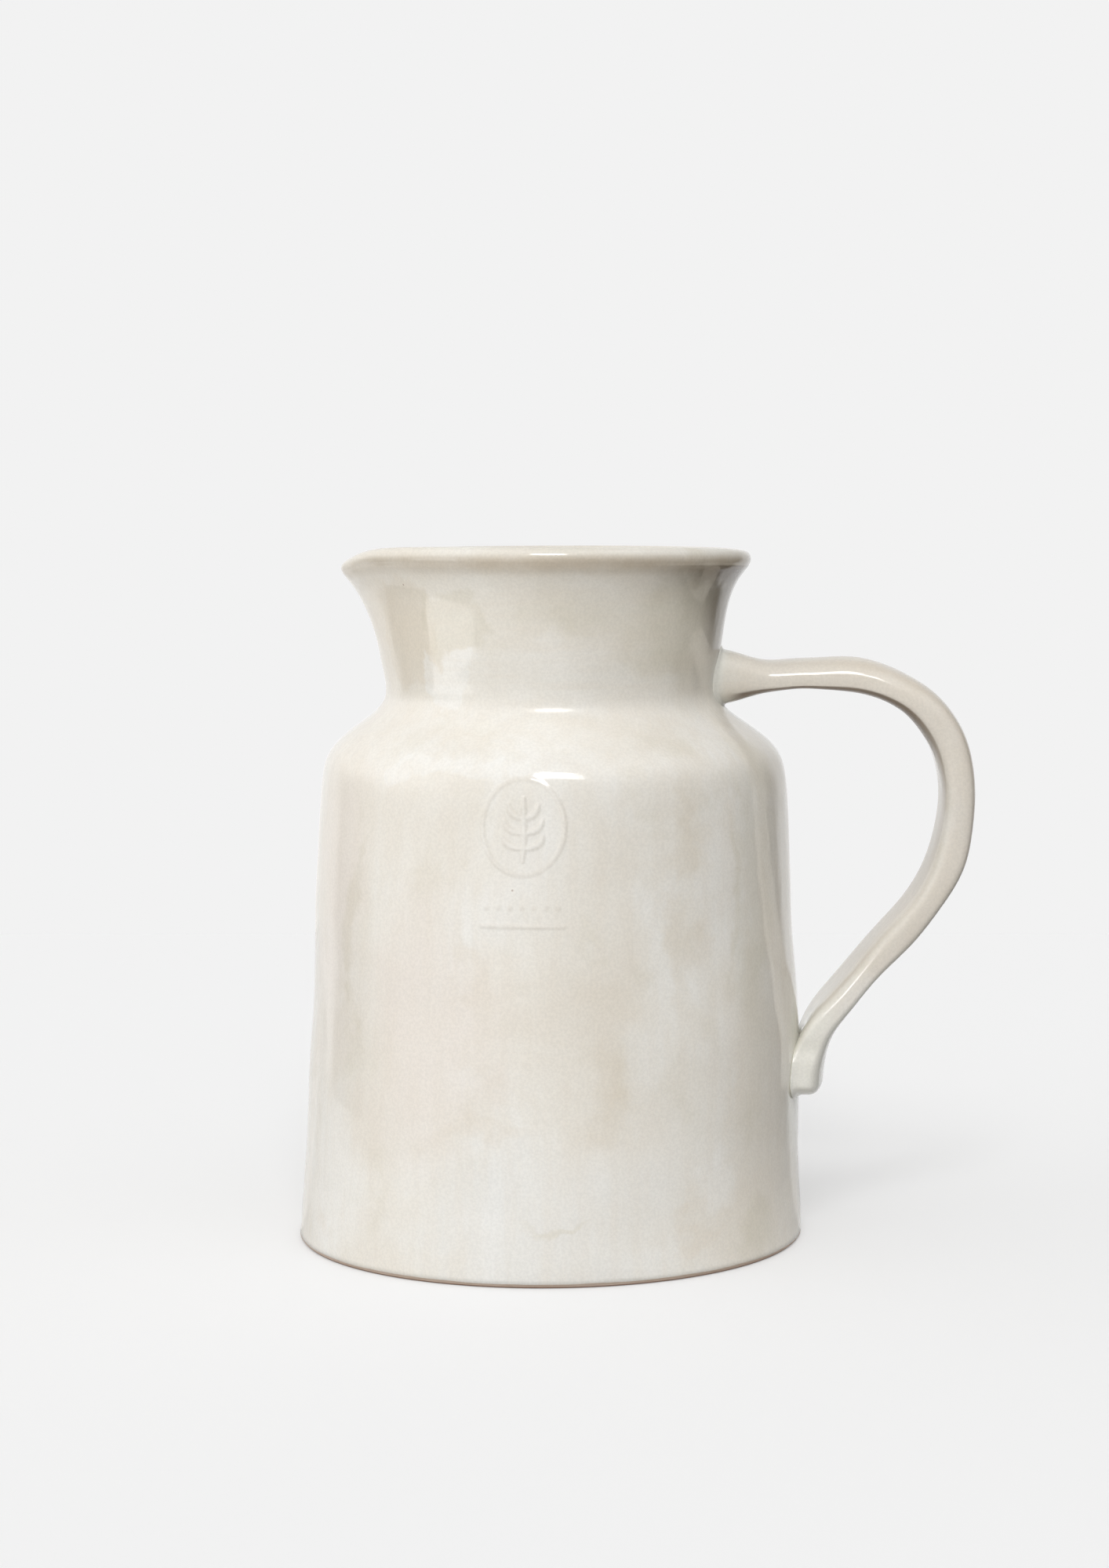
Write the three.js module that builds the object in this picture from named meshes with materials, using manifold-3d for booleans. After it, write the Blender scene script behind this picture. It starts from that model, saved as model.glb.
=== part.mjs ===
// A hand-built stoneware pitcher, as the clay pieces that a potter makes and joins with slip.
// Millimetres, +Z up. The origin is the centre of the flat underside.
// The handle points along +X and the spout along -X.

import * as THREE from 'three';
import { mergeVertices } from 'three/addons/utils/BufferGeometryUtils.js';
import Module from 'manifold-3d';

const wasm = await Module();
wasm.setup();

// Driving dimensions
const height = 204;             // table to the top of the rim, at the sides and the back
const baseRadius = 75;          // widest part of the drum, where it stands
const shoulderRadius = 68.9;    // top of the drum, where the shoulder turns in
const shoulderHeight = 136;
const neckRadius = 49;          // narrowest part of the neck
const neckHeight = 163;
const seamHeight = 160;         // where the neck is joined to the shoulder
const floorThickness = 6;
const footChamfer = 1;          // the worn lower edge of the slab
const wall = 5.5;
const lipRadius = 2.7;          // radius of the rounded rim in section
const rimRadius = 56;           // centre of that rounding, from the axis
const rimRise = 2.2;            // how much higher the front of the rim stands
const spoutPull = 3.4;          // how far the spout is drawn out past the round rim
const spoutDip = 3;             // how far its tip is drawn down
const pullStart = 174;          // height where the spout and the uneven rim start to show
const spoutSpread = 0.26;       // half-angle of the spout, in radians
const strapHalfWidth = 10;
const strapHalfThickness = 5.2;
const strapThinning = 1.7;      // the strap is pulled thinner just past its root
const rootHalfHeight = 8.2;     // the handle's flare at the neck
const rootHalfWidth = 9.4;
const rootLength = 17;          // how far the flare reaches out from the neck
const tailHalfWidth = 16;       // the tail is pressed wider than the strap
const tailLength = 34;          // how much of the handle the tail takes up
const tailShift = -5.5;         // the tail sits a little off the centre line, bent round the wall
const gap = 0.3;                // slip joint between neighbouring pieces

// Smoothness
const turns = 60;               // flats around the vessel
const curveSteps = 5;           // points on each stretch of an outline
const sectionPoints = 18;       // points around the handle's section
const stepLength = 5;           // distance between sections along the handle

const glazeColor = 0xe4dfd4;
const clayColor = 0xa98d7c;


// Outlines of the outside, as radius and height

function drumOutline(from) {
  const outline = new THREE.Path();
  outline.moveTo(baseRadius - 0.1, from);
  outline.quadraticCurveTo(73.3, 55, shoulderRadius, shoulderHeight);
  outline.bezierCurveTo(69.2, 151, neckRadius, 153.5, neckRadius + 0.5, seamHeight);
  return outline.getPoints(curveSteps + 2);
}

function neckOutline(from) {
  const flareRadius = rimRadius + lipRadius * Math.SQRT1_2;
  const lipHeight = height - lipRadius;
  const outline = new THREE.Path();
  outline.moveTo(neckRadius + 0.4, from);
  outline.lineTo(neckRadius, neckHeight);
  outline.bezierCurveTo(50.6, 176, 51.5, 190, flareRadius, lipHeight - lipRadius * Math.SQRT1_2);
  outline.absarc(rimRadius, lipHeight, lipRadius, -Math.PI / 4, Math.PI * 0.95, false);
  return outline.getPoints(curveSteps);
}

// The inside follows the outside at the thickness of the wall; its ends stay level with the outline's
function insideOf(outline, thickness) {
  const last = outline.length - 1;
  return outline.map((point, index) => {
    const before = outline[Math.max(index - 1, 0)];
    const after = outline[Math.min(index + 1, last)];
    const along = after.clone().sub(before).normalize();
    const inner = new THREE.Vector2(point.x - along.y * thickness, point.y + along.x * thickness);
    if (index === 0 || index === last) {
      inner.y = point.y;
    }
    return inner;
  });
}


// Geometry helpers

function revolve(points) {
  return new THREE.LatheGeometry(points, turns).rotateX(Math.PI / 2);
}

function weld(geometry) {
  const bare = geometry.clone();
  bare.deleteAttribute('normal');
  bare.deleteAttribute('uv');
  return mergeVertices(bare, 1e-4);
}

function toManifold(geometry) {
  const merged = weld(geometry);
  return new wasm.Manifold(new wasm.Mesh({
    numProp: 3,
    vertProperties: Float32Array.from(merged.attributes.position.array),
    triVerts: Uint32Array.from(merged.index.array),
  }));
}

function fromManifold(solid) {
  const mesh = solid.getMesh();
  const geometry = new THREE.BufferGeometry();
  geometry.setAttribute('position', new THREE.BufferAttribute(mesh.vertProperties, 3));
  geometry.setIndex(new THREE.BufferAttribute(mesh.triVerts, 1));
  return geometry;
}

function smoothstep(from, to, value) {
  return THREE.MathUtils.smoothstep(value, from, to);
}


// The vessel

function makeBaseSlab() {
  const top = floorThickness;
  return revolve([
    new THREE.Vector2(0, 0),
    new THREE.Vector2(baseRadius - footChamfer, 0),
    new THREE.Vector2(baseRadius, footChamfer),
    new THREE.Vector2(baseRadius, top),
    new THREE.Vector2(0, top),
  ]);
}

function makeBodyWall() {
  const outside = drumOutline(floorThickness + gap);
  const inside = insideOf(outside, wall).reverse();
  return revolve([...outside, ...inside, outside[0]]);
}

// The spout is drawn out of the rim with a finger: the clay moves out and the tip moves down.
// The front of the rim is left a little higher than the rest.
function shapeRim(geometry) {
  const position = geometry.attributes.position;
  for (let i = 0; i < position.count; i += 1) {
    const x = position.getX(i);
    const y = position.getY(i);
    const z = position.getZ(i);
    const turn = Math.atan2(y, -x) / spoutSpread;
    const share = Math.exp(-turn * turn);
    const radius = Math.hypot(x, y);
    const front = smoothstep(0.45, 1, (1 - y / radius) / 2);
    const stretch = 1 + spoutPull * share * smoothstep(pullStart, height - 6, z) / radius;
    const climb = (Math.max(z - pullStart, 0) / (height - pullStart)) ** 1.5;
    position.setXYZ(i, x * stretch, y * stretch, z + climb * (rimRise * front - spoutDip * share));
  }
  return geometry;
}

function makeNeckCollar() {
  const outside = neckOutline(seamHeight + gap);
  const flare = outside.slice(0, curveSteps + 2);
  const inside = insideOf(flare, wall).reverse().slice(1);
  return shapeRim(revolve([...outside, ...inside, outside[0]]));
}

// A filled form that is the slip joint's thickness larger than the outside of the vessel
function makeVesselEnvelope() {
  const outside = [...drumOutline(0), ...neckOutline(seamHeight + 1).slice(0, curveSteps + 2)];
  const grown = outside.map((point) => new THREE.Vector2(point.x + gap, point.y));
  const first = new THREE.Vector2(0, 0);
  const last = new THREE.Vector2(0, grown[grown.length - 1].y);
  return toManifold(revolve([first, ...grown, last]));
}


// The handle: one pulled strap of clay, as a root on the neck, a loop and a tail on the drum

const handleLine = new THREE.CatmullRomCurve3([
  [44, 0, 166.7],
  [64, 0, 167],
  [74, 0, 167.8],
  [88, 0, 167.4],
  [101, 0, 164],
  [113.8, 0, 153.4],
  [119.7, 0, 140],
  [120.1, 0, 127],
  [116.8, -0.5, 111.5],
  [106.8, -1.5, 95.5],
  [93.3, -3, 80.6],
  [81.2, tailShift, 66],
  [76.4, tailShift, 54],
  [75.4, tailShift, 43.5],
].map(([x, y, z]) => new THREE.Vector3(x, y, z)));
const handleLength = handleLine.getLength();

function handleSection(distance) {
  const place = handleLine.getPointAt(distance / handleLength);
  const tangent = handleLine.getTangentAt(distance / handleLength);
  const across = new THREE.Vector3(0, 1, 0);
  const outward = new THREE.Vector3().crossVectors(tangent, across).normalize();
  const flare = 1 - smoothstep(6, 6 + rootLength, distance);
  const fromEnd = handleLength - distance;
  const spread = 1 - smoothstep(tailLength * 0.45, tailLength * 1.5, fromEnd);
  const tip = Math.sqrt(1 - (1 - Math.min(fromEnd / strapHalfThickness, 1)) ** 2 * 0.6);
  const halfWidth = strapHalfWidth
    + (rootHalfWidth - strapHalfWidth) * flare
    + (tailHalfWidth - strapHalfWidth) * spread;
  const thinning = strapThinning * Math.exp(-(((distance - rootLength * 1.7) / rootLength) ** 2));
  const thickness = strapHalfThickness - thinning;
  const halfThickness = thickness + (rootHalfHeight - thickness) * flare;
  const ring = [];
  for (let k = 0; k < sectionPoints; k += 1) {
    const angle = (2 * Math.PI * k) / sectionPoints;
    const wide = Math.sign(Math.cos(angle)) * Math.abs(Math.cos(angle)) ** 0.7;
    const thick = Math.sign(Math.sin(angle)) * Math.abs(Math.sin(angle)) ** 0.7;
    const point = place.clone()
      .addScaledVector(across, wide * halfWidth * tip)
      .addScaledVector(outward, thick * halfThickness * tip);
    point.x -= (spread * point.y ** 2) / (2 * baseRadius);
    ring.push(point);
  }
  return ring;
}

// A closed solid through the handle's sections between two distances along it
function handleStretch(from, to) {
  const steps = Math.max(Math.ceil((to - from) / stepLength), 2);
  const positions = [];
  const indices = [];
  for (let i = 0; i <= steps; i += 1) {
    const ring = handleSection(from + ((to - from) * i) / steps);
    ring.forEach((point) => positions.push(point.x, point.y, point.z));
  }
  for (let i = 0; i < steps; i += 1) {
    for (let k = 0; k < sectionPoints; k += 1) {
      const a = i * sectionPoints + k;
      const b = i * sectionPoints + ((k + 1) % sectionPoints);
      indices.push(a, b, a + sectionPoints, b, b + sectionPoints, a + sectionPoints);
    }
  }
  const end = steps * sectionPoints;
  for (let k = 1; k < sectionPoints - 1; k += 1) {
    indices.push(0, k + 1, k);
    indices.push(end, end + k, end + k + 1);
  }
  const geometry = new THREE.BufferGeometry();
  geometry.setAttribute('position', new THREE.Float32BufferAttribute(positions, 3));
  geometry.setIndex(indices);
  return geometry;
}

const rootEnd = 6 + rootLength;
const tailStart = handleLength - tailLength;
const envelope = makeVesselEnvelope();

function makeUpperHandleRoot() {
  return fromManifold(toManifold(handleStretch(0, rootEnd)).subtract(envelope));
}

function makeHandleStrap() {
  return handleStretch(rootEnd + gap, tailStart - gap);
}

function makeLowerHandleTail() {
  return fromManifold(toManifold(handleStretch(tailStart, handleLength)).subtract(envelope));
}


// The assembly

function addPiece(group, name, geometry, color, roughness) {
  const material = new THREE.MeshStandardMaterial({ color, roughness, metalness: 0 });
  const mesh = new THREE.Mesh(geometry, material);
  mesh.name = name;
  group.add(mesh);
}

const pitcher = new THREE.Group();
pitcher.name = 'pitcher';
addPiece(pitcher, 'base_slab', makeBaseSlab(), clayColor, 0.9);
addPiece(pitcher, 'body_wall', makeBodyWall(), glazeColor, 0.15);
addPiece(pitcher, 'neck_collar', makeNeckCollar(), glazeColor, 0.15);
addPiece(pitcher, 'upper_handle_root', makeUpperHandleRoot(), glazeColor, 0.15);
addPiece(pitcher, 'handle_strap', makeHandleStrap(), glazeColor, 0.15);
addPiece(pitcher, 'lower_handle_tail', makeLowerHandleTail(), glazeColor, 0.15);

export default pitcher;
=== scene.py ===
"""A hand-built, glazed stoneware pitcher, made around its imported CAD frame.

Metres, +Z up. The handle points along +X, the spout along -X, and the front is towards -Y.
"""

import math

import bpy
import numpy as np
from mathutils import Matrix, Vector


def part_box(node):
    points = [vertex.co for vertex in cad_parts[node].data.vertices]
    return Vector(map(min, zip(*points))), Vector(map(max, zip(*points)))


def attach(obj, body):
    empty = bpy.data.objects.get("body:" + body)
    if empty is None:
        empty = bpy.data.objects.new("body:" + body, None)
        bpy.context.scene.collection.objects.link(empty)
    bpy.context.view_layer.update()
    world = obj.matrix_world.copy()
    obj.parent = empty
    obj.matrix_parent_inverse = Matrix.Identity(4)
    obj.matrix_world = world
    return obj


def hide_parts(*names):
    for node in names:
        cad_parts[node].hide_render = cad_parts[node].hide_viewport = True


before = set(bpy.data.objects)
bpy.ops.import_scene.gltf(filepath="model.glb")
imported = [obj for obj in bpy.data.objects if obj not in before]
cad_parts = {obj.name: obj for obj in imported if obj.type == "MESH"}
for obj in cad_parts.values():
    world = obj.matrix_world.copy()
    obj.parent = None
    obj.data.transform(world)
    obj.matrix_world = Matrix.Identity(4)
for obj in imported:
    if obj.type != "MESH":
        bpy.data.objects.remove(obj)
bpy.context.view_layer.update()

# ---------------------------------------------------------------------------------------------
# Driving dimensions. Lengths below are in millimetres, times MM, which the width of the base sets.

BASE_RADIUS = 75
HEIGHT = 204                                    # table to the top of the rim, at the sides and the back
MM = (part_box("base_slab")[1].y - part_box("base_slab")[0].y) / (2 * BASE_RADIUS)
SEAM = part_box("neck_collar")[0].z / MM          # where the neck stands on the shoulder
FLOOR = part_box("base_slab")[1].z / MM           # thickness of the floor of the pot

WALL = 5.5
LIP_RADIUS = 2.7
RIM_RADIUS = 56.0                               # centre of the rounded lip, from the axis
LIP_HEIGHT = HEIGHT - LIP_RADIUS
GLAZE_EDGE = 1.1                                # height where the glaze stops, above the table
OUTLINE = [                                     # height and radius of the outside, bottom to top
    (0, BASE_RADIUS - 0.1), (8, 74.6), (22, 73.6), (45, 73.0), (75, 71.8), (105, 70.4), (132, 69.1),
    (139, 68.4), (144.5, 66.5), (150, 61.3), (155, 54.4), (159.5, 49.9), (164, 49.0), (172, 50.1),
    (182, 51.5), (190, 53.0), (196, 55.6), (LIP_HEIGHT - 2, RIM_RADIUS + 2.05),
]
LEAN = [                                        # height and sideways drift of the hand-built wall
    (0, 0), (20, 0.1), (45, 0.8), (70, 1.5), (95, 0.9), (125, 0.9), (150, 0.7), (165, 0), (HEIGHT, 0.3),
]
WAVES = [                                       # size, turns, change with height and start of each unevenness
    (0.16, 3, 0.031, 0.4), (0.12, 5, -0.052, 2.1), (0.10, 2, 0.084, 4.0), (0.06, 9, 0.045, 1.0),
    (0.045, 7, -0.16, 0.7), (0.035, 4, 0.27, 5.1), (0.02, 15, 0.11, 3.0),
]

SPOUT_PULL = 3.4
SPOUT_DIP = 3.0
SPOUT_SPREAD = 0.26
PULL_START = 174                                # height where the spout and the uneven rim begin
RIM_RISE = 2.2                                  # how much higher the front of the rim stands

PAINTED_SHADE_START = [                                  # azimuth, and height where the painted shade on the glaze starts
    (0, 194), (40, 186), (56, 178), (72, 156), (90, 152),
]

STAMP_AZIMUTH = -7.2                            # degrees from the front, towards the spout
STAMP_HEIGHT = 129
STAMP_RADII = (11.6, 13.4)
STAMP_LINE = 0.75                               # half-width of a raised line
STAMP_RELIEF = 0.30
STAMP_REACH = 16                                # how far the finer mesh reaches from its middle
BAR_HEIGHT = 101.4
BAR_HALF_LENGTH = 11.3
BEAD_HEIGHT = 106.5

HANDLE_LINE = [                                 # x, y, z of the middle of the strap
    (43, 0, 166.7), (54, 0, 166.7), (66, 0, 167.1), (72, 0, 167.7), (80, 0, 167.8), (90, 0, 167.3),
    (101, 0, 163.9), (108.3, 0, 159.4), (114, 0, 153.3), (117.7, 0, 146.7), (119.7, 0, 139.5),
    (120.4, 0, 131), (119.6, 0, 122), (117.2, -0.3, 112), (112.2, -0.8, 102.5), (104.6, -1.5, 92.7),
    (95.1, -2.4, 82.7), (86.8, -3.6, 73.2), (80.6, -4.8, 64.7), (77.8, -5.5, 57), (76.6, -5.5, 50),
    (76.3, -5.5, 43),
]
HANDLE_THICKNESS = [                            # distance along the handle and half-thickness
    (0, 8.8), (6.5, 8.3), (11, 7.4), (19, 5.0), (26, 4.2), (33, 4.15), (45, 4.9), (60, 4.9), (75, 5.5),
    (93, 5.1), (105, 4.9), (118, 5.1), (132, 4.4), (145, 4.6), (160, 3.9), (176, 4.3), (190, 4.7),
    (210, 4.7),
]
HANDLE_WIDTH = [                                # and half-width
    (0, 9.4), (20, 8.8), (32, 8.6), (45, 9.2), (80, 10.2), (130, 10.6), (158, 11.5), (176, 14.5),
    (190, 16), (210, 16),
]
HANDLE_ROLL = [                                 # and turn about its own line, in degrees
    (0, 0), (8, 0), (26, 6), (45, 6), (80, 1), (110, -3), (165, -3), (185, 0), (210, 0),
]
HANDLE_CROWN = [                                # and how much fuller its outer face is than the inner
    (0, 0), (10, 0.1), (22, 0.4), (50, 0.4), (85, 0.1), (110, 0), (210, 0),
]
UNDERSIDE_SHADE_START = [                                 # and the angle where the thin glaze and the painted shade underneath begin
    (0, 216), (14, 206), (26, 190), (52, 190), (75, 204), (100, 230), (210, 232),
]
ROOT_FILLET = 1.4                               # radius of the smoothed slip joint at each end
TAIL_FILLET = 2.0
TAIL_SPREAD = (12, 32)                          # distances from the end between which the tail widens
THUMB_DENT = 1.1                                # depth of the dent at the tail's front edge

COARSE_STEP = 1.6                               # spacing of the vessel's mesh, and at the stamp
FINE_STEP = 0.36
HANDLE_POINTS = 96                              # points round the handle's section


def smooth(edge_a, edge_b, value):
    """0 at edge_a, 1 at edge_b, with a soft start and end."""
    share = np.clip((np.asarray(value, float) - edge_a) / (edge_b - edge_a), 0, 1)
    return share * share * (3 - 2 * share)


def band(value, middle, spread):
    """1 at the middle, falling away on both sides."""
    return np.exp(-((value - middle) / spread) ** 2)


def spline(knots):
    """A natural cubic through (t, value) knots, as a function of t."""
    t, v = np.array(knots, float)[:, 0], np.array(knots, float)[:, 1]
    step, rise = np.diff(t), np.diff(v) / np.diff(t)
    matrix = np.eye(len(t))
    right = np.zeros(len(t))
    for i in range(1, len(t) - 1):
        matrix[i, i - 1:i + 2] = step[i - 1], 2 * (step[i - 1] + step[i]), step[i]
        right[i] = 6 * (rise[i] - rise[i - 1])
    bend = np.linalg.solve(matrix, right)

    def value(at):
        at = np.asarray(at, float)
        i = np.clip(np.searchsorted(t, at) - 1, 0, len(t) - 2)
        a, b = (t[i + 1] - at) / step[i], (at - t[i]) / step[i]
        curve = ((a ** 3 - a) * bend[i] + (b ** 3 - b) * bend[i + 1]) * step[i] ** 2 / 6
        return a * v[i] + b * v[i + 1] + curve
    return value


outside_radius = spline(OUTLINE)
lean = spline(LEAN)


def graded(start, stop, coarse, fine, fine_start, fine_stop):
    """Places from start to stop, closer together between fine_start and fine_stop."""
    places = [start]
    while places[-1] < stop - 1e-6:
        here = places[-1]
        away = max(fine_start - here, here - fine_stop, 0)
        places.append(min(here + min(coarse, fine + 0.25 * away), stop))
    return np.array(places)


# ---------------------------------------------------------------------------------------------
# The stamp: a plain ring round a leaf sprig, a row of beads and a bar, raised from the wall

def bezier(a, b, c):
    """Points along a quadratic curve from a to c that leaves towards b."""
    t = np.linspace(0, 1, 9)[:, None]
    a, b, c = (np.array(p, float) for p in (a, b, c))
    return (1 - t) ** 2 * a + 2 * t * (1 - t) * b + t ** 2 * c


def distance_to_line(u, v, points):
    """Distance from (u, v) to a line of points, and the share of the line at the nearest place."""
    nearest, share = np.full(u.shape, 1e9), np.zeros(u.shape)
    for i, (a, b) in enumerate(zip(points[:-1], points[1:])):
        run = b - a
        t = np.clip(((u - a[0]) * run[0] + (v - a[1]) * run[1]) / (run @ run), 0, 1)
        away = np.hypot(u - a[0] - t * run[0], v - a[1] - t * run[1])
        share = np.where(away < nearest, (i + t) / (len(points) - 1), share)
        nearest = np.minimum(nearest, away)
    return nearest, share


def sprig_strokes():
    """The stem and its pairs of leaves, in millimetres from the middle of the stamp."""
    strokes = [bezier((0, -9.5), (0.4, -2), (0, 8.2))]
    for base, reach, lift in ((-6.0, 5.6, 3.2), (-1.8, 5.4, 3.6), (2.4, 4.2, 3.8)):
        for side in (-1, 1):
            strokes.append(bezier((0, base), (side * reach * 0.9, base + 0.4), (side * reach, base + lift)))
    return strokes


def stamp_relief(u, v):
    """Height of the stamp at u across and v up, in millimetres from the middle of its ring."""
    turn = np.arctan2(v / STAMP_RADII[1], u / STAMP_RADII[0])
    ring = np.hypot(u, v) - np.hypot(STAMP_RADII[0] * np.cos(turn), STAMP_RADII[1] * np.sin(turn))
    fade = 0.75 + 0.25 * np.sin(turn * 2 + 0.8)
    height = (1 - smooth(0.2, STAMP_LINE * 1.35, np.abs(ring))) * fade
    for stroke in sprig_strokes():
        away, share = distance_to_line(u, v, stroke)
        width = STAMP_LINE * (0.75 + 0.75 * np.sin(math.pi * np.clip(share, 0, 1)))
        height = np.maximum(height, 1 - smooth(0.15, 1.3, away / width))
    bar_u = np.maximum(np.abs(u) - BAR_HALF_LENGTH, 0)
    bar = np.hypot(bar_u, v - (BAR_HEIGHT - STAMP_HEIGHT))
    height = np.maximum(height, 0.8 * (1 - smooth(0.15, STAMP_LINE * 1.3, bar)))
    for k in range(-3, 4):
        bead = np.hypot(u - k * 3.3, v - (BEAD_HEIGHT - STAMP_HEIGHT))
        height = np.maximum(height, 0.6 * (1 - smooth(0.1, 1.15, bead)))
    return height


# ---------------------------------------------------------------------------------------------
# The vessel

def dents(theta, z):
    """Unevenness of the hand-smoothed wall, in millimetres."""
    waves = sum(size * np.sin(turns * theta + rise * z + start) for size, turns, rise, start in WAVES)
    fingers = 0.22 * band(z, 21 + 2 * np.sin(3 * theta), 5) * np.sin(8 * theta + 0.9)
    return waves + fingers


def shaped(r, z, theta, relief=0.0):
    """Where a point of the round vessel goes once it is leaned, dented and pulled into a spout."""
    oval = 1.25 * np.cos(2 * (theta - 0.75)) * (1 - smooth(20, 150, z))
    radius = r + oval + dents(theta, z) * smooth(0, 6, z) * (1 - 0.5 * smooth(196, HEIGHT, z)) + relief
    from_spout = np.arctan2(np.sin(theta), -np.cos(theta))
    share = band(from_spout, 0, SPOUT_SPREAD)
    flank = band(np.abs(from_spout), 0.62, 0.24)
    pull = SPOUT_PULL * share - 0.5 * flank
    radius = radius + pull * smooth(PULL_START, 198, z)
    front = smooth(0.45, 1, (1 - np.sin(theta)) / 2)
    climb = np.clip((z - PULL_START) / (HEIGHT - PULL_START), 0, 1) ** 1.5
    lift = climb * (RIM_RISE * front - SPOUT_DIP * share + 0.12 * np.sin(2 * theta + 0.5))
    points = np.stack([radius * np.cos(theta) + lean(z), radius * np.sin(theta), z + lift], -1)
    points[r < 1e-6] *= (0, 0, 1)               # a row on the axis stays a single point
    return points


def swept(profile, turns):
    """Angle, radius and height of each point where a profile goes round the axis."""
    theta, r = np.meshgrid(turns, profile[:, 0])
    return theta, r, np.repeat(profile[:, 1:2], len(turns), 1)


def outside_normal(z):
    """Radial and upward parts of the outside's normal at height z."""
    slope = (outside_radius(z + 0.05) - outside_radius(z - 0.05)) / 0.1
    length = np.hypot(1, slope)
    return 1 / length, -slope / length


def vessel_profile():
    """Radius, height and outside-ness from the middle of the underside, round the lip, to the floor."""
    top = OUTLINE[-1][0]
    heights = graded(GLAZE_EDGE, top, COARSE_STEP, FINE_STEP, BAR_HEIGHT - 2, STAMP_HEIGHT + STAMP_REACH)
    rows = [(r, GLAZE_EDGE - 0.1, 0) for r in (0, 35, 70, BASE_RADIUS - 1.6, BASE_RADIUS - 0.7)]
    rows += [(float(outside_radius(z)), z, 1) for z in heights]
    for angle in np.radians(np.linspace(-38, 165, 22)):
        rows.append((RIM_RADIUS + LIP_RADIUS * math.cos(angle), LIP_HEIGHT + LIP_RADIUS * math.sin(angle), 0))
    for z in np.arange(196, FLOOR + 7, -2.2):
        out, up = outside_normal(z)
        rows.append((float(outside_radius(z) - WALL * out), float(z - WALL * up), 0))
    corner, corner_radius = rows[-1][0], 7
    for angle in np.radians(np.linspace(10, 90, 8)):
        rows.append((corner - corner_radius * (1 - math.cos(angle)),
                     FLOOR + corner_radius * (1 - math.sin(angle)), 0))
    rows += [(r, FLOOR, 0) for r in (50, 30, 12, 0)]
    return np.array(rows)


def mesh_piece(name, grid, attributes=None):
    """A smooth mesh from a grid of points in millimetres. First and last rows may be single points."""
    rows, columns = grid.shape[:2]
    single = [np.ptp(grid[i], axis=0).max() < 1e-9 for i in range(rows)]
    numbers = np.zeros((rows, columns), int)
    picked = []
    for i in range(rows):
        for j in range(columns):
            if single[i] and j:
                numbers[i, j] = numbers[i, 0]
            else:
                numbers[i, j] = len(picked)
                picked.append((i, j))
    points = np.array([grid[i, j] for i, j in picked]) * MM
    faces = []
    for i in range(rows - 1):
        for j in range(columns):
            k = (j + 1) % columns
            face = (numbers[i, j], numbers[i, k], numbers[i + 1, k], numbers[i + 1, j])
            faces.append(tuple(dict.fromkeys(face)))
    mesh = bpy.data.meshes.new(name)
    mesh.from_pydata([tuple(p) for p in points], [], faces)
    for label, values in (attributes or {}).items():
        layer = mesh.attributes.new(label, "FLOAT", "POINT")
        layer.data.foreach_set("value", np.array([values[i, j] for i, j in picked], np.float32))
    mesh.shade_smooth()
    piece = bpy.data.objects.new(name, mesh)
    bpy.context.collection.objects.link(piece)
    return piece


def painted_shade_share(theta, z):
    """How much painted shade darkens the glaze under the rim and down the neck, between the front and the
    handle.
    """
    azimuth = (np.degrees(theta) - 270 + 180) % 360 - 180
    start = np.interp(azimuth, *zip(*PAINTED_SHADE_START))
    share = 0.58 * smooth(16, 50, azimuth) * smooth(0, 26, z - start)
    # and a narrow band of painted shadow just under the lip, on the right
    share = share + 0.22 * smooth(30, 52, azimuth) * smooth(193, 196.5, z)
    return share * (1 - smooth(88, 125, azimuth)) * (1 - 0.85 * smooth(198.2, 201, z))


def make_vessel():
    profile = vessel_profile()
    front = math.radians(270 + STAMP_AZIMUTH)
    spread = STAMP_REACH / outside_radius(STAMP_HEIGHT)
    turns = graded(0, 2 * math.pi, math.radians(2.4), FINE_STEP / 70, front - spread, front + spread)[:-1]
    theta, r, z = swept(profile, turns)
    on_outside = np.repeat(profile[:, 2:3], len(turns), 1)
    across = (theta - front) * outside_radius(STAMP_HEIGHT)
    near = on_outside * (np.abs(across) < 17) * (z > BAR_HEIGHT - 4) * (z < STAMP_HEIGHT + 18)
    relief = np.where(near > 0, stamp_relief(across, z - STAMP_HEIGHT), 0)
    grid = shaped(r, z, theta, STAMP_RELIEF * relief)
    # The band under the lip: thinner glaze on the lip's edge, and painted shade where the flare below it
    # faces down
    rim = smooth(196, 199.5, z) * (1 - smooth(200.5, 203.2, z)) * smooth(RIM_RADIUS - 2.0, RIM_RADIUS, r)
    rim = rim * (1 - 0.35 * smooth(0.2, 0.9, -np.cos(theta)))       # less at the spout
    edge = np.maximum(rim, 0.15 * relief * (1 - relief) * 4)
    # Marks: thin glaze at the lip and on the stamp's lines, with painted shade under the lip; pooled glaze by
    # the handle; and painted shade under the rim and down the neck's right side
    marks = {"edge": edge, "pool": handle_nearness(grid), "painted_shade": on_outside * painted_shade_share(theta, z)}
    return mesh_piece("vessel", grid, attributes=marks)


def make_foot():
    """The bare clay under the pot, with its lower edge rubbed round."""
    edge = BASE_RADIUS - 0.35
    rows = [(0, 0.25), (40, 0.25), (66, 0.2), (70, 0), (edge - 1.4, 0), (edge - 0.6, 0.14),
            (edge - 0.15, 0.55), (edge, 1.0), (edge, 1.9), (edge - 3, 2.1), (0, 2.1)]
    turns = np.linspace(0, 2 * math.pi, 180, endpoint=False)
    theta, r, z = swept(np.array(rows, float), turns)
    return mesh_piece("clay_foot", shaped(r, z, theta))


# ---------------------------------------------------------------------------------------------
# The handle

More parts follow.
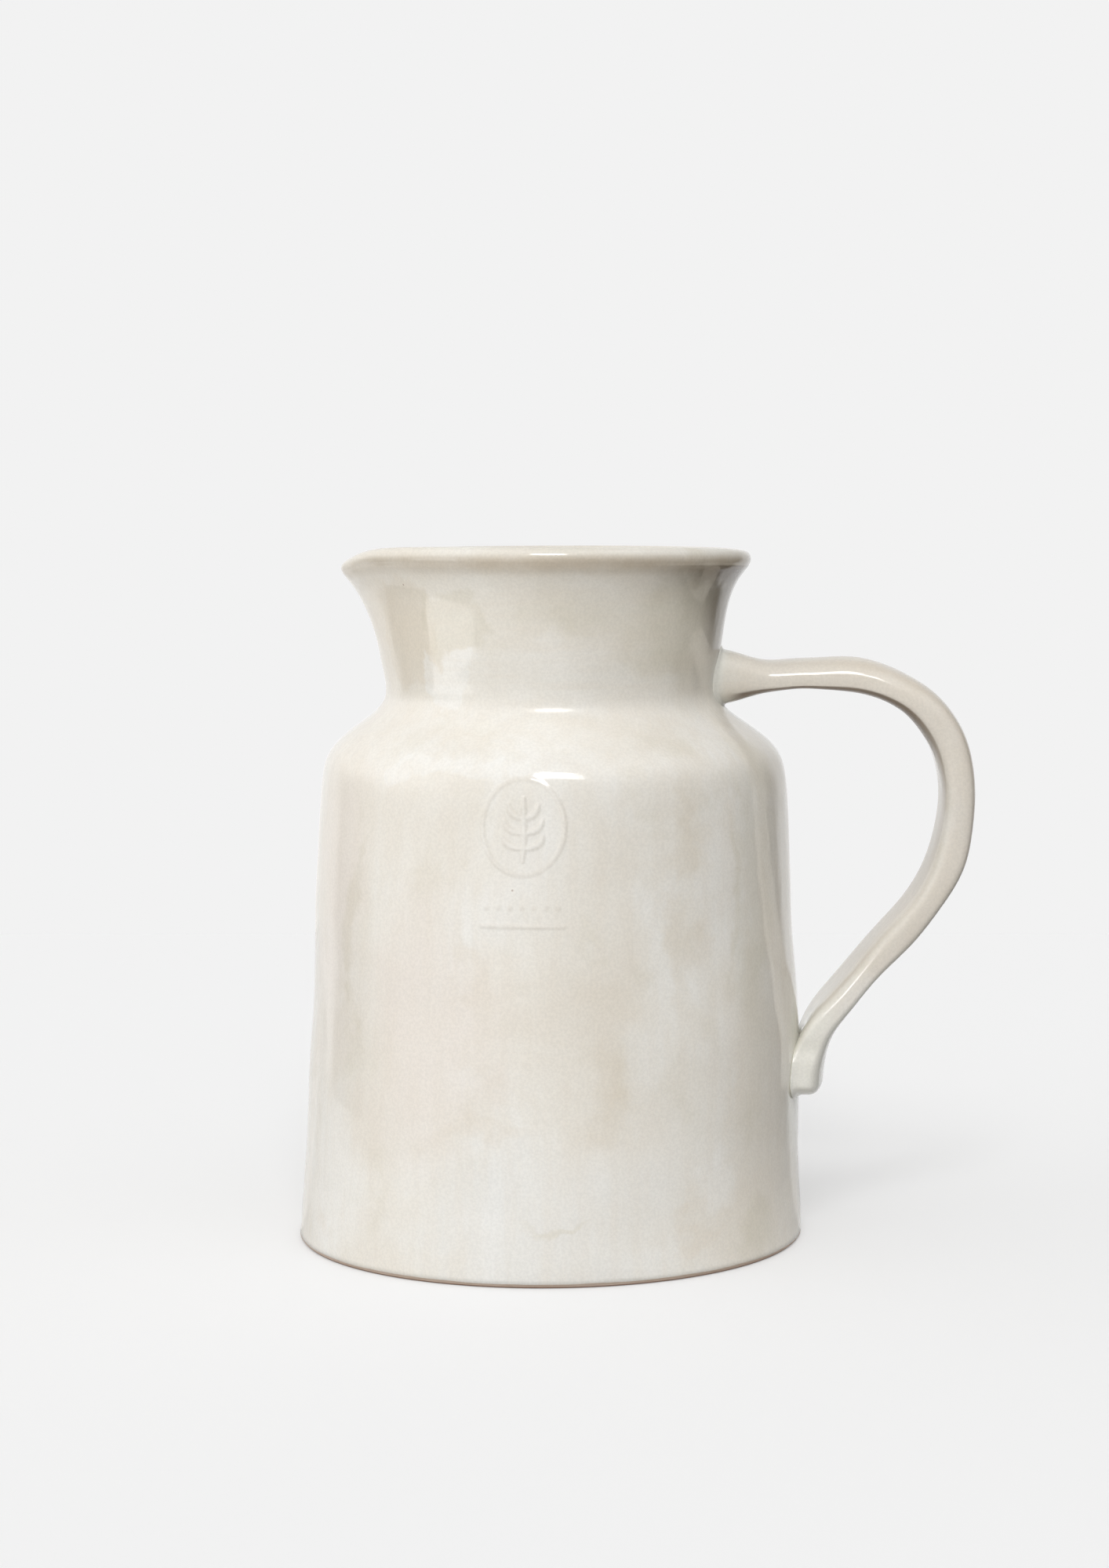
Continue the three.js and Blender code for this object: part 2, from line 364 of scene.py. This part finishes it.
def line_through(points, spacing):
    """Places along a smooth curve through the points, spacing(distance) apart."""
    points = np.array(points, float)
    chords = np.concatenate([[0], np.cumsum(np.linalg.norm(np.diff(points, axis=0), axis=1))])
    curves = [spline(list(zip(chords, points[:, k]))) for k in range(3)]
    distances = [0.0]
    while distances[-1] < chords[-1]:
        distances.append(min(distances[-1] + spacing(distances[-1], chords[-1]), chords[-1]))
    distances = np.array(distances)
    place = np.stack([curve(distances) for curve in curves], -1)
    ahead = np.stack([curve(distances + 0.01) - curve(distances - 0.01) for curve in curves], -1)
    return distances, place, ahead / np.linalg.norm(ahead, axis=1)[:, None]


WALL_HEIGHTS = np.linspace(0, OUTLINE[-1][0], 400)
WALL_RADII = outside_radius(WALL_HEIGHTS)


def wall_distance(points):
    """Distance from the outside of the vessel, and the direction straight away from it."""
    x, y, z = points[..., 0] - lean(points[..., 2]), points[..., 1], points[..., 2]
    rho = np.hypot(x, y)
    away = np.hypot(rho[..., None] - WALL_RADII, z[..., None] - WALL_HEIGHTS)
    nearest = away.argmin(-1)
    height = WALL_HEIGHTS[nearest]
    out, up = outside_normal(height)
    signed = (rho - WALL_RADII[nearest]) * out + (z - height) * up
    direction = np.stack([out * x / rho, out * y / rho, up], -1)
    return signed, direction


def grid_normals(grid):
    """Outward normals of a tube-like grid that closes around its columns."""
    along = np.gradient(grid, axis=0)
    around = np.roll(grid, -1, 1) - np.roll(grid, 1, 1)
    normal = np.cross(around, along)
    length = np.linalg.norm(normal, axis=-1, keepdims=True)
    return normal / np.maximum(length, 1e-12)


def handle_section(distance, from_end, angle):
    """How far a point of the strap's section is sideways and outwards from its middle."""
    half_width = spline(HANDLE_WIDTH)(distance) + 0.25 * np.sin(distance / 11 + 0.6)
    half_width += 0.18 * np.sin(distance / 5.3 + 2)
    half_thickness = spline(HANDLE_THICKNESS)(distance)
    tip = np.sqrt(np.clip(1 - (1 - np.minimum(from_end / 5.0, 1)) ** 2, 0.0, 1))
    squareness = 2.5 + 1.2 * smooth(60, 120, distance) + 0.4 * (1 - smooth(*TAIL_SPREAD, from_end))
    wide = np.sign(np.cos(angle)) * np.abs(np.cos(angle)) ** (2 / squareness) * (half_width * tip)
    deep = np.sign(np.sin(angle)) * np.abs(np.sin(angle)) ** (2 / squareness)
    crown = spline(HANDLE_CROWN)(distance)
    deep = (deep * (1 + crown * np.sign(deep)) - crown) * (half_thickness * tip)
    roll = np.radians(spline(HANDLE_ROLL)(distance))
    return wide * np.cos(roll) - deep * np.sin(roll), wide * np.sin(roll) + deep * np.cos(roll)


def handle_grid():
    """The points of the handle before its joints are smoothed, with each one's place on the handle.

    The angle round the section is 90 on the outer face, 180 on the front edge and 270 underneath.
    """
    def spacing(done, whole):
        return 0.35 if min(done, whole - done) < 16 else 0.9

    distance, place, tangent = line_through(HANDLE_LINE, spacing)
    distance = distance[:, None]
    from_end = distance[-1] - distance
    angle = np.linspace(0, 2 * math.pi, HANDLE_POINTS, endpoint=False)[None, :]
    sideways, outwards = handle_section(distance, from_end, angle)
    outward = np.cross(tangent, np.array([0.0, 1.0, 0.0]))
    outward /= np.linalg.norm(outward, axis=1)[:, None]
    side = np.cross(outward, tangent)
    grid = place[:, None, :] + side[:, None, :] * sideways[..., None]
    grid += outward[:, None, :] * outwards[..., None]
    around_wall = grid[..., 1] ** 2 / (2 * BASE_RADIUS)
    grid[..., 0] -= (1 - smooth(*TAIL_SPREAD, from_end)) * around_wall
    angle = np.degrees(angle) * np.ones_like(sideways)
    dent = THUMB_DENT * band(angle, 180, 28) * band(from_end, 15, 2.6)
    return grid - dent[..., None] * grid_normals(grid), angle, distance, from_end


def filleted(grid):
    """Spreads the handle's surface over the wall where they meet, as smoothed clay does."""
    away, direction = wall_distance(grid)
    normal = grid_normals(grid)
    along_wall = normal - (normal * direction).sum(-1, keepdims=True) * direction
    radius = np.where(grid[..., 2] > 100, ROOT_FILLET, TAIL_FILLET)
    gap = np.clip(away, 0, radius)
    spread = radius - np.sqrt(np.maximum(radius ** 2 - (radius - gap) ** 2, 0))
    return grid + along_wall * spread[..., None], away


def handle_nearness(points):
    """1 where the handle is joined, falling to 0 a few millimetres away."""
    near = np.full(points.shape[:2], 1e9)
    for spot in HANDLE_LINE[:2] + HANDLE_LINE[-4:]:
        size = HANDLE_THICKNESS[0][1] if spot[2] > 100 else HANDLE_WIDTH[-1][1]
        near = np.minimum(near, np.linalg.norm(points - np.array(spot, float), axis=-1) - size)
    return 1 - smooth(0, 7, near)


def handle_marks(angle, along, from_end, away):
    """Where the handle's glaze is thin at its edges, pooled, thin and darkened by painted shade underneath,
    and warmer.

    It goes by the angle round the section, the distances along and from the end, and how far away
    the wall is.
    """
    outer = band(angle, 128, 14) * smooth(30, 50, along) * (1 - smooth(75, 95, along))
    arch = band(angle, 122, 26) * smooth(70, 88, along) * (1 - smooth(112, 135, along))
    inner = band(angle, 236, 12) + band(angle, 304, 12)
    inner = inner * (0.4 * smooth(140, 150, along) + 0.6 * smooth(174, 186, along))
    edge = (0.50 * outer + 0.40 * arch + 0.7 * inner) * smooth(1, 4, away)

    pool = np.maximum(1 - smooth(0.3, 3.5, away), 0.9 * (1 - smooth(18, 32, from_end)))

    # The underside band: thin glaze, and painted shade where the strap faces down
    start = spline(UNDERSIDE_SHADE_START)(along)
    under = smooth(start - 4, start + 4, angle) * (1 - smooth(307, 319, angle)) * smooth(8, 14, along)
    under = under * (1 - 0.72 * smooth(62, 100, along)) * (1 - 0.6 * smooth(110, 150, along))

    warm = smooth(2, 10, away) * (1 - 0.6 * smooth(150, 175, along)) * (1 - 0.8 * smooth(190, 215, angle))
    return {"edge": edge, "pool": pool, "under": under, "warm": warm}


def make_handle():
    grid, angle, distance, from_end = handle_grid()
    grid, away = filleted(grid)
    marks = handle_marks(angle, distance, from_end, away)
    marks = {name: np.concatenate([v[:1], v, v[-1:]]) for name, v in marks.items()}
    caps = [np.repeat(end.mean(0)[None, None, :], HANDLE_POINTS, 1) for end in (grid[0], grid[-1])]
    return mesh_piece("handle", np.concatenate([caps[0], grid, caps[1]]), attributes=marks)


# ---------------------------------------------------------------------------------------------
# Materials

def add(tree, kind, inputs=None, **settings):
    """Adds a shader node; inputs are values or sockets by input name or number."""
    made = tree.nodes.new("ShaderNode" + kind)
    for key, value in settings.items():
        setattr(made, key, value)
    for key, value in (inputs or {}).items():
        if isinstance(value, bpy.types.NodeSocket):
            tree.links.new(value, made.inputs[key])
        else:
            made.inputs[key].default_value = value
    return made


def math_node(tree, operation, a, b=0.0):
    return add(tree, "Math", {0: a, 1: b}, operation=operation).outputs[0]


def mix_colors(tree, share, first, second):
    made = add(tree, "Mix", data_type="RGBA", clamp_factor=True)
    for socket, value in ((made.inputs[0], share), (made.inputs[6], first), (made.inputs[7], second)):
        if isinstance(value, bpy.types.NodeSocket):
            tree.links.new(value, socket)
        else:
            socket.default_value = value
    return made.outputs[2]


def blend_values(tree, share, first, second):
    return add(tree, "Mix", {0: share, 2: first, 3: second}, data_type="FLOAT").outputs[0]


def tinted(tree, color, tint, share, strength):
    """The colour with a tint over it, where share is 1 at the given strength."""
    return mix_colors(tree, math_node(tree, "MULTIPLY", share, strength), color, tint)


def ranged(tree, value, low, high, to_low=0.0, to_high=1.0):
    """A value taken softly from the range low to high into another, and held at its ends."""
    return add(tree, "MapRange", {0: value, 1: low, 2: high, 3: to_low, 4: to_high},
               interpolation_type="SMOOTHSTEP").outputs[0]


def stretched_noise(tree, coordinates, stretch, scale, detail=3.0, roughness=0.55, distortion=0.0):
    """Noise whose pattern is drawn out along an axis by a small factor in stretch."""
    place = add(tree, "Mapping", {0: coordinates, 3: stretch}).outputs[0]
    return add(tree, "TexNoise", {"Vector": place, "Scale": scale, "Detail": detail,
                                  "Roughness": roughness, "Distortion": distortion}).outputs[0]


def new_material(name):
    material = bpy.data.materials.new(name)
    material.use_nodes = True
    tree = material.node_tree
    tree.nodes.clear()
    return material, tree


CREAM = (0.820, 0.785, 0.715, 1)
BEIGE = (0.745, 0.675, 0.575, 1)
SAND = (0.720, 0.640, 0.540, 1)
AMBER = (0.600, 0.490, 0.330, 1)
KHAKI = (0.640, 0.595, 0.475, 1)
OCHRE = (0.690, 0.600, 0.470, 1)
# Painted shade: the near-black brown mixed in under the rim and down the neck's right side
PAINTED_SHADE = (0.100, 0.065, 0.030, 1)
PINK = (0.835, 0.765, 0.705, 1)
STONE = (0.790, 0.784, 0.755, 1)
WHITE = (0.880, 0.872, 0.840, 1)
TAN = (0.520, 0.440, 0.335, 1)
POOLED = (0.865, 0.870, 0.805, 1)
UMBER = (0.240, 0.180, 0.130, 1)
CLAY = (0.620, 0.500, 0.410, 1)
DEEP_CLAY = (0.540, 0.420, 0.330, 1)
PALE_CLAY = (0.700, 0.590, 0.500, 1)
SPECK = (0.300, 0.190, 0.130, 1)

BRUSHED_PATCHES_AND_PAINTED_LIGHT = [     # azimuth from the front and height of a brushed patch, its half-sizes, colour and strength; a few are painted light, marked where they stand
    (-30, 72, 24, 42, PINK, 0.55),
    (-62, 100, 16, 44, PINK, 0.55),
    (-55, 96, 4, 52, KHAKI, 0.35),
    (-19, 84, 4, 28, BEIGE, 0.35),
    (4, 187, 22, 9, KHAKI, 0.25),
    (-60, 180, 26, 17, OCHRE, 0.42),
    (48, 186, 22, 20, KHAKI, 0.60),
    (-10, 168, 44, 8, WHITE, 0.35),
    (17, 169, 24, 13, WHITE, 0.40),
    (-22, 151, 50, 9, WHITE, 0.40),
    (-24, 153, 20, 5, AMBER, 0.14),
    (58, 145, 9, 12, KHAKI, 0.35),
    (31, 112, 6, 38, AMBER, 0.24),
    (15, 53, 9, 12, AMBER, 0.20),
    (14, 78, 9, 8, AMBER, 0.08),
    (-16, 43, 18, 4, BEIGE, 0.35),
    (55, 100, 10, 62, KHAKI, 0.30),
    (47, 112, 3, 42, KHAKI, 0.35),
    (41, 116, 7, 28, WHITE, 0.40),
    (41, 56, 8, 26, WHITE, 0.35),
    (-8, 106, 11, 14, WHITE, 0.45),
    (24, 66, 9, 12, WHITE, 0.35),
    (0, 16, 46, 26, STONE, 0.75),
    (16, 34, 50, 16, WHITE, 0.25),
    (-58, 26, 18, 28, WHITE, 0.55),
    (40, 29, 9, 9, WHITE, 0.60),
    (35, 14, 7, 4, BEIGE, 0.50),
    (56, 7, 14, 9, KHAKI, 0.45),
    (-60, 8, 8, 5, BEIGE, 0.45),
    (4, 17, 14, 1.8, KHAKI, 0.35),
    # Painted light: lightens the handle's tail and the wall beside it
    (86, 49, 17, 18, WHITE, 0.50),
    # Painted highlight along the right of the rim's crest
    (50, 206.5, 34, 4, WHITE, 0.35),
    (140, 110, 30, 30, BEIGE, 0.40),
    (175, 60, 34, 24, KHAKI, 0.35),
    (-130, 90, 26, 36, BEIGE, 0.35),
    (110, 50, 24, 20, PINK, 0.40),
]
SQUARE_PATCHES_AND_PAINTED_REFLECTIONS = [     # the same for square-cornered patches, with half-widths in degrees; the ochre and the white ones are painted reflections of windows
    # Painted reflection of a darker window, in tan, on the neck's left
    (-50, 181, 11.5, 15, OCHRE, 0.26),
    (-34, 186, 9, 8, KHAKI, 0.32),
    # Painted reflection of a light window on the neck's left
    (-36, 169.5, 10, 7.5, WHITE, 0.65),
    # Painted reflection of a light window on the shoulder
    (-26, 144.5, 20, 3, WHITE, 0.45),
]


def patch_mask(tree, warped, azimuth, height, half_width, half_height):
    """A soft-edged patch on the wall, in the coordinates that the noise has bent."""
    turn = math.radians(azimuth)
    radius = float(outside_radius(min(height, 198)))
    centre = (radius * math.sin(turn) * MM, -radius * math.cos(turn) * MM, height * MM)
    shifted = add(tree, "VectorMath", {0: warped, 1: centre}, operation="SUBTRACT").outputs[0]
    size = (1 / (half_width * MM), 1 / (half_width * MM), 1 / (half_height * MM))
    scaled = add(tree, "VectorMath", {0: shifted, 1: size}, operation="MULTIPLY").outputs[0]
    length = add(tree, "VectorMath", {0: scaled}, operation="LENGTH").outputs["Value"]
    return ranged(tree, length, 1.25, 0.35)


def square_patch_mask(tree, azimuth, height, middle, level, half_turn, half_height):
    """A patch with straight, fairly crisp sides."""
    mask = 1.0
    for value, centre, half, soft in ((azimuth, math.radians(middle), math.radians(half_turn), 0.02),
                                      (height, level * MM, half_height * MM, 1.2 * MM)):
        away = math_node(tree, "ABSOLUTE", math_node(tree, "SUBTRACT", value, centre))
        mask = math_node(tree, "MULTIPLY", mask, ranged(tree, away, half + soft, half - soft))
    return mask


def brushed_color_with_painted_light(tree, place, mottle, on_neck):
    """Cream with clouds of other tints, with what the brush left, and with a few painted highlights,
    reflections and patches of painted light.
    """
    clouds = stretched_noise(tree, place, (1, 1, 0.75), 26, 5, 0.6, 0.5)
    color = tinted(tree, CREAM, BEIGE, ranged(tree, clouds, 0.42, 0.72), 0.45)
    color = tinted(tree, color, KHAKI, ranged(tree, mottle, 0.52, 0.75), 0.25)
    color = tinted(tree, color, WHITE, ranged(tree, clouds, 0.48, 0.28), 0.60)

    bend = add(tree, "TexNoise", {"Vector": place, "Scale": 38.0, "Detail": 4.0, "Roughness": 0.6})
    centred = {0: bend.outputs["Color"], 1: (0.5, 0.5, 0.5)}
    centred = add(tree, "VectorMath", centred, operation="SUBTRACT").outputs[0]
    push = add(tree, "VectorMath", {0: centred, "Scale": 0.036}, operation="SCALE").outputs[0]
    warped = add(tree, "VectorMath", {0: place, 1: push}, operation="ADD").outputs[0]
    broken = ranged(tree, mottle, 0.25, 0.65, 0.7, 1.0)
    for azimuth, z, half_width, half_height, tint, strength in BRUSHED_PATCHES_AND_PAINTED_LIGHT:
        mask = patch_mask(tree, warped, azimuth, z, half_width, half_height)
        color = tinted(tree, color, tint, math_node(tree, "MULTIPLY", mask, broken), strength)

    bent_x, bent_y, bent_z = add(tree, "SeparateXYZ", {0: warped}).outputs
    azimuth = math_node(tree, "ARCTAN2", bent_x, math_node(tree, "MULTIPLY", bent_y, -1.0))
    for middle, z, half_turn, half_height, tint, strength in SQUARE_PATCHES_AND_PAINTED_REFLECTIONS:
        mask = square_patch_mask(tree, azimuth, bent_z, middle, z, half_turn, half_height)
        color = tinted(tree, color, tint, mask, strength)
    return tinted(tree, color, KHAKI, on_neck, 0.12)


def marked_color(tree, color, place, mottle):
    """The colour where the mesh's attributes say that the glaze is thin, pooled or warmer, or darkened by
    painted shade, and specks.
    """
    marks = [
        # Thin glaze at edges; on the vessel's lip it also carries painted shade
        ("edge", TAN, ranged(tree, mottle, 0.3, 0.6, 0.6, 0.85)),
        # Painted shade under the rim and down the neck's right side
        ("painted_shade", PAINTED_SHADE, ranged(tree, mottle, 0.3, 0.7, 0.9, 1.08)),
        ("warm", SAND, 0.42),
        # Thin glaze under the handle, darkened further as painted shade
        ("under", UMBER, 0.9),
        ("pool", POOLED, 0.55),
    ]
    for name, tint, strength in marks:
        share = add(tree, "Attribute", attribute_name=name).outputs["Fac"]
        color = tinted(tree, color, tint, share, strength)
    cells = add(tree, "TexVoronoi", {"Vector": place, "Scale": 95.0})
    rare = add(tree, "SeparateColor", {0: cells.outputs["Color"]}).outputs[0]
    speck = math_node(tree, "MULTIPLY", ranged(tree, cells.outputs["Distance"], 0.045, 0.02),
                      math_node(tree, "GREATER_THAN", rare, 0.90))
    return tinted(tree, color, SPECK, speck, 0.55)


def glaze_material():
    material, tree = new_material("brushed_glaze_with_painted_light")
    place = add(tree, "TexCoord").outputs["Object"]
    height = add(tree, "SeparateXYZ", {0: place}).outputs[2]
    mottle = stretched_noise(tree, place, (1, 1, 1), 64, 4, 0.62, 0.2)
    upright = stretched_noise(tree, place, (1, 1, 0.10), 210, 3, 0.6)
    level = stretched_noise(tree, place, (0.08, 0.08, 1), 330, 3, 0.6)
    fine = stretched_noise(tree, place, (1, 1, 1), 900, 2, 0.5)
    on_neck = ranged(tree, height, (SEAM - 2) * MM, (SEAM + 6) * MM)

    color = brushed_color_with_painted_light(tree, place, mottle, on_neck)
    streaks = blend_values(tree, on_neck, ranged(tree, upright, 0.35, 0.70, 0.0, 0.20),
                           ranged(tree, level, 0.35, 0.70, 0.0, 0.25))
    color = mix_colors(tree, streaks, color, BEIGE)
    color = marked_color(tree, color, place, mottle)
    foot_line = stretched_noise(tree, place, (1, 1, 1), 60, 2)
    clay_line = add(tree, "MapRange", {0: foot_line, 1: 0.3, 2: 0.7, 3: 1.2 * MM, 4: 1.5 * MM}).outputs[0]
    bare = math_node(tree, "LESS_THAN", height, clay_line)
    color = mix_colors(tree, bare, color, CLAY)
    grain = ranged(tree, stretched_noise(tree, place, (1, 1, 1), 1300, 2, 0.6), 0.3, 0.7, 0.965, 1.035)
    color = add(tree, "HueSaturation", {"Value": grain, "Color": color}).outputs[0]

    ripple = stretched_noise(tree, place, (1, 1, 0.6), 130, 2, 0.5)
    relief = math_node(tree, "ADD", math_node(tree, "MULTIPLY", fine, 0.04),
                       math_node(tree, "MULTIPLY", ripple, 0.9))
    brush = blend_values(tree, on_neck, upright, level)
    relief = math_node(tree, "ADD", relief, math_node(tree, "MULTIPLY", brush, 0.12))
    bump = add(tree, "Bump", {"Strength": 0.35, "Distance": 0.0006, "Height": relief}).outputs[0]

    rough = ranged(tree, mottle, 0.3, 0.7, 0.03, 0.07)
    rough = math_node(tree, "ADD", rough, math_node(tree, "MULTIPLY", bare, 0.6))
    sponged = math_node(tree, "MULTIPLY", ranged(tree, height, (SEAM - 4) * MM, (SEAM - 2) * MM),
                        ranged(tree, height, (SEAM + 5) * MM, (SEAM + 3) * MM))
    rough = math_node(tree, "ADD", rough, math_node(tree, "MULTIPLY", sponged, 0.16))
    shader = add(tree, "BsdfPrincipled", {"Base Color": color, "Roughness": rough, "Normal": bump})
    shader.inputs["IOR"].default_value = 1.5
    add(tree, "OutputMaterial", {0: shader.outputs[0]})
    return material


def clay_material():
    material, tree = new_material("bare_clay")
    place = add(tree, "TexCoord").outputs["Object"]
    grain = stretched_noise(tree, place, (1, 1, 1), 700, 4, 0.7)
    blotch = stretched_noise(tree, place, (1, 1, 1), 45, 4, 0.6)
    color = mix_colors(tree, ranged(tree, blotch, 0.35, 0.7), CLAY, DEEP_CLAY)
    color = mix_colors(tree, ranged(tree, grain, 0.5, 0.8, 0, 0.5), color, PALE_CLAY)
    height = add(tree, "SeparateXYZ", {0: place}).outputs[2]
    # Painted shade: below 0.75 mm the clay turns to the dark speck brown, standing in for the contact shadow
    # under the foot
    color = mix_colors(tree, ranged(tree, height, 0.75 * MM, 0.35 * MM), color, SPECK)
    wave = add(tree, "TexWave", {"Vector": place, "Scale": 60.0, "Distortion": 2.0, "Detail": 2.0},
               wave_type="RINGS", rings_direction="Z").outputs["Fac"]
    relief = math_node(tree, "ADD", grain, math_node(tree, "MULTIPLY", wave, 0.4))
    bump = add(tree, "Bump", {"Strength": 0.5, "Distance": 0.0004, "Height": relief}).outputs[0]
    rough = ranged(tree, grain, 0.3, 0.7, 0.75, 0.95)
    shader = add(tree, "BsdfPrincipled", {"Base Color": color, "Roughness": rough, "Normal": bump})
    add(tree, "OutputMaterial", {0: shader.outputs[0]})
    return material


# ---------------------------------------------------------------------------------------------
# Camera, light and floor

PALE = 0.888                            # the studio's white
CAMERA_PLACE = (0.0010, -1.0204, 0.2306)
CAMERA_TILT = 5.372                     # degrees downwards
CAMERA_LENS = 79.23                     # on a sensor 36 wide


def set_camera():
    camera = bpy.data.cameras.new("camera")
    camera.lens = CAMERA_LENS
    camera.sensor_width = 36
    holder = bpy.data.objects.new("camera", camera)
    holder.location = CAMERA_PLACE
    holder.rotation_euler = (math.radians(90 - CAMERA_TILT), 0, 0)
    bpy.context.collection.objects.link(holder)
    bpy.context.scene.camera = holder


# The room, as elevation in degrees with azimuth and brightness all round it. The camera's side is at
# azimuth 0, and the right is positive.
ROOM = [
    (-4, [(-180, 1.00), (-132, 1.00), (-123, 0.05), (-98, 0.05), (-92, 0.50), (-42, 0.68), (-30, 1.00),
          (-8, 1.00), (8, 0.40), (30, 0.27), (60, 0.36), (92, 0.45), (100, 0.02), (136, 0.02), (146, 0.85),
          (180, 1.00)]),
    (14, [(-180, 0.85), (-130, 1.15), (-100, 1.60), (-75, 1.70), (-50, 1.10), (-15, 0.60), (10, 0.12),
          (35, 0.12), (70, 0.40), (95, 0.30), (120, 0.10), (140, 0.30), (160, 0.68), (180, 0.85)]),
    (36, [(-180, 0.75), (-90, 1.05), (0, 0.88), (90, 0.65), (125, 0.55), (180, 0.75)]),
    (60, [(-180, 0.15), (-120, 0.25), (-60, 0.60), (0, 1.10), (40, 1.30), (90, 0.95), (140, 0.40),
          (180, 0.15)]),
    (85, [(-180, 0.45), (180, 0.45)]),
]
SOFTBOXES = [           # azimuth and elevation of a light's sides, its strength and its edge's softness
    ((-15, 12), (35, 50.5), 12.6, 3),
    ((-92, -52), (-23, -9), 1.60, 2),
]


def all_round(tree, turn, around):
    """The brightness at a turn of 0 to 1, from pairs of azimuth and brightness."""
    ramp = add(tree, "ValToRGB", {0: turn})
    stops = ramp.color_ramp.elements
    for i, (angle, brightness) in enumerate(around):
        place = (angle + 180) / 360
        stop = stops[i] if i < 2 else stops.new(place)
        stop.position = place
        stop.color = (brightness, brightness, brightness, 1)
    return add(tree, "SeparateColor", {0: ramp.outputs[0]}).outputs[0]


def softbox_mask(tree, azimuth, elevation, sides, levels, soft):
    """1 inside a light that is square in azimuth and elevation, and 0 outside it."""
    mask = 1.0
    for value, (start, stop) in ((azimuth, sides), (elevation, levels)):
        rise = ranged(tree, value, math.radians(start - soft), math.radians(start + soft))
        fall = ranged(tree, value, math.radians(stop + soft), math.radians(stop - soft))
        mask = math_node(tree, "MULTIPLY", math_node(tree, "MULTIPLY", rise, fall), mask)
    return mask


def light_world():
    world = bpy.data.worlds.new("studio")
    bpy.context.scene.world = world
    world.use_nodes = True
    tree = world.node_tree
    tree.nodes.clear()
    direction = add(tree, "TexCoord").outputs["Generated"]
    x, y, z = add(tree, "SeparateXYZ", {0: direction}).outputs
    azimuth = math_node(tree, "ARCTAN2", x, math_node(tree, "MULTIPLY", y, -1.0))
    elevation = math_node(tree, "ARCSINE", z)
    turn = add(tree, "MapRange", {0: azimuth, 1: -math.pi, 2: math.pi}).outputs[0]
    light = all_round(tree, turn, ROOM[0][1])
    for (lower, _), (upper, around) in zip(ROOM, ROOM[1:]):
        rise = {0: elevation, 1: math.radians(lower), 2: math.radians(upper)}
        share = add(tree, "MapRange", rise).outputs[0]
        light = blend_values(tree, share, light, all_round(tree, turn, around))
    for sides, levels, strength, soft in SOFTBOXES:
        mask = softbox_mask(tree, azimuth, elevation, sides, levels, soft)
        light = math_node(tree, "ADD", light, math_node(tree, "MULTIPLY", mask, strength))
    lit = add(tree, "Background", {0: light}).outputs[0]
    plain = add(tree, "Background", {0: (PALE, PALE, PALE, 1)}).outputs[0]
    seen = add(tree, "LightPath").outputs["Is Camera Ray"]
    shown = add(tree, "MixShader", {0: seen, 1: lit, 2: plain}).outputs[0]
    add(tree, "OutputWorld", {0: shown})


TABLE_HALF = (0.42, 0.65)       # half-width and half-depth of the table, in metres
FLOOR_ALBEDO = 0.60
FLOOR_FILL = 0.315              # added so that the open floor shows the same white as the background
BOUNCE = (0.70, 0.12)           # what the table gives back to the pot at its left and, shaded, at its right
BOUNCE_BEHIND = 0.92            # and far round at its back


def make_floor():
    bpy.ops.mesh.primitive_plane_add(size=2)
    floor = bpy.context.object
    floor.name = "studio_floor"
    floor.scale = (TABLE_HALF[0], TABLE_HALF[1], 1)
    material, tree = new_material("pale_floor")
    seen = add(tree, "LightPath").outputs["Is Camera Ray"]
    x, y, _ = add(tree, "SeparateXYZ", {0: add(tree, "NewGeometry").outputs["Position"]}).outputs
    across = math_node(tree, "SUBTRACT", math_node(tree, "ABSOLUTE", x), BASE_RADIUS * MM)
    azimuth = math_node(tree, "ARCTAN2", across, math_node(tree, "MULTIPLY", y, -1.0))
    behind = ranged(tree, azimuth, math.radians(134), math.radians(144), 0.0, BOUNCE_BEHIND)
    bounce = math_node(tree, "MAXIMUM", ranged(tree, x, 0.05, 0.25, *BOUNCE), behind)
    gray = blend_values(tree, seen, bounce, FLOOR_ALBEDO)
    matte = add(tree, "BsdfDiffuse", {"Color": gray}).outputs[0]
    fill = math_node(tree, "MULTIPLY", seen, FLOOR_FILL)
    glow = add(tree, "Emission", {"Color": (1, 1, 1, 1), "Strength": fill}).outputs[0]
    both = add(tree, "AddShader", {0: matte, 1: glow}).outputs[0]
    add(tree, "OutputMaterial", {0: both})
    floor.data.materials.append(material)


# ---------------------------------------------------------------------------------------------
# The scene

set_camera()
light_world()
make_floor()
bpy.context.scene.view_settings.view_transform = "Standard"

glaze = glaze_material()
vessel = make_vessel()
vessel.data.materials.append(glaze)
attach(vessel, "root")
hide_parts("body_wall", "neck_collar")

foot = make_foot()
foot.data.materials.append(clay_material())
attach(foot, "root")
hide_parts("base_slab")

handle = make_handle()
handle.data.materials.append(glaze)
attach(handle, "root")
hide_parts("upper_handle_root", "handle_strap", "lower_handle_tail")
